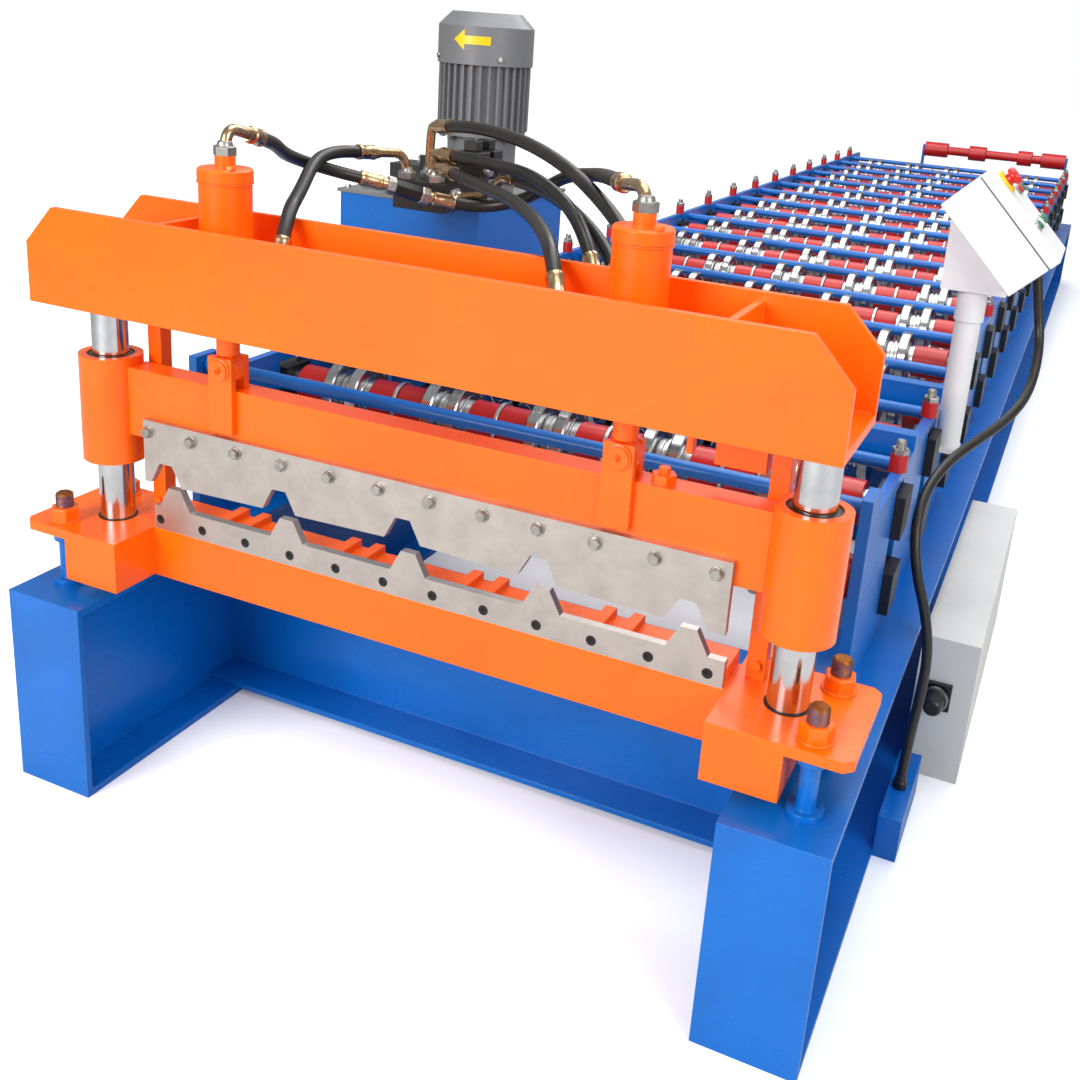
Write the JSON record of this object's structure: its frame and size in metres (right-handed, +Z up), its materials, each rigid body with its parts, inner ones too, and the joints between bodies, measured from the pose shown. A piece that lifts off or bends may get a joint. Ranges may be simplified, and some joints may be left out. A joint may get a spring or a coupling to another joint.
{
  "type": "roll forming machine",
  "caption": "Roll forming line for trapezoid roof sheet on a long beam frame, with driven roll stations, a hydraulic profile shear, pump unit and control desk.",
  "frame": {"origin": "on the floor, in the middle of the footprint", "axes": "+X to the right seen from the shear end, +Y along the line from the shear towards the strip entry, +Z up"},
  "size_m": [1.675, 7.34, 1.484],
  "materials": {
    "orange_paint": "gloss orange enamel",
    "blue_paint": "gloss blue enamel",
    "hard_chrome": "polished chrome plate",
    "ground_steel": "ground tool steel",
    "roll_chrome": "turned and chrome plated",
    "red_paint": "gloss red enamel",
    "black_iron": "black paint",
    "zinc_steel": "zinc plated",
    "grey_paint": "grey hammer paint",
    "white_paint": "off-white powder coat",
    "pale_grey_paint": "pale grey powder coat",
    "red_plastic": "gloss",
    "green_plastic": "gloss"
  },
  "bodies": {
    "machine": {"adjusting_screws": "zinc_steel", "bearing_blocks": "black_iron", "bridge_rails": "blue_paint", "control_desk": "white_paint", "control_post": "white_paint", "crosshead_floor": "orange_paint", "crosshead_front_plate": "orange_paint", "crosshead_rear_plate": "orange_paint", "crosshead_ribs": "orange_paint", "desk_bracket": "white_paint", "desk_buttons": "green_plastic", "drive_foot": "blue_paint", "drive_guard": "pale_grey_paint", "entry_rollers": "roll_chrome", "entry_table": "blue_paint", "frame_cross_members": "blue_paint", "left_base_block": "orange_paint", "left_cylinder": "orange_paint", "left_frame_beam": "blue_paint", "left_guide_column": "hard_chrome", "left_side_wall": "blue_paint", "levelling_studs": "blue_paint", "limit_bracket": "orange_paint", "lower_blade": "ground_steel", "lower_roll_shafts": "roll_chrome", "motor_bell": "grey_paint", "motor_fan_cover": "grey_paint", "pump_motor": "grey_paint", "pump_tank": "blue_paint", "rear_guide_posts": "orange_paint", "right_base_block": "orange_paint", "right_cylinder": "orange_paint", "right_frame_beam": "blue_paint", "right_guide_column": "hard_chrome", "right_side_wall": "blue_paint", "roll_spacers": "red_paint", "screw_collars": "red_paint", "shear_base_beam": "orange_paint", "sheet_fingers": "orange_paint", "stop_button": "red_plastic", "stud_nuts": "orange_paint", "tank_lid": "grey_paint", "tie_bars": "blue_paint", "upper_roll_shafts": "roll_chrome", "valve_block": "grey_paint"},
    "shear_slide": {"moving_beam": "orange_paint", "left_guide_sleeve": "orange_paint", "right_guide_sleeve": "orange_paint", "upper_blade": "ground_steel", "clevis_ears": "orange_paint", "clevis_pins": "orange_paint", "left_piston_rod": "orange_paint", "right_piston_rod": "orange_paint"}
  },
  "joints": [
    {"name": "shear_stroke", "type": "slide", "parent": "machine", "child": "shear_slide", "axis": [0, 0, 1], "range_m": [-0.075, 0.045]}
  ]
}
